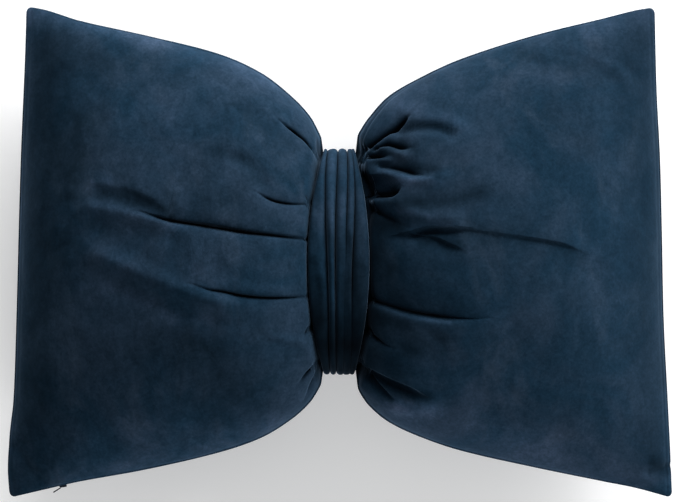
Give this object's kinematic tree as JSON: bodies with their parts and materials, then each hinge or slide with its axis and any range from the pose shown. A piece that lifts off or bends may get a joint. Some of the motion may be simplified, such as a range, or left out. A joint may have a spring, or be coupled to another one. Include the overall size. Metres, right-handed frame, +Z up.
{
  "type": "bow cushion",
  "caption": "Filled velvet cushion drawn in at its middle by a pleated band into the shape of a bow, lying on its back.",
  "frame": {"origin": "on the surface that the cushion lies on, in the middle of its outline", "axes": "+X along the bow from the left lobe to the right one, +Y towards its upper edge, +Z up out of its face"},
  "size_m": [0.6011, 0.4427, 0.1388],
  "materials": {
    "velvet": "navy velvet with a short brushed nap",
    "band_velvet": "navy velvet laid in pleats along the band",
    "zip_metal": "dark navy enamel"
  },
  "bodies": {
    "root": {"cushion_body": "velvet", "pleated_band": "band_velvet", "zip_slider": "zip_metal", "zip_pull": "zip_metal"}
  },
  "joints": []
}
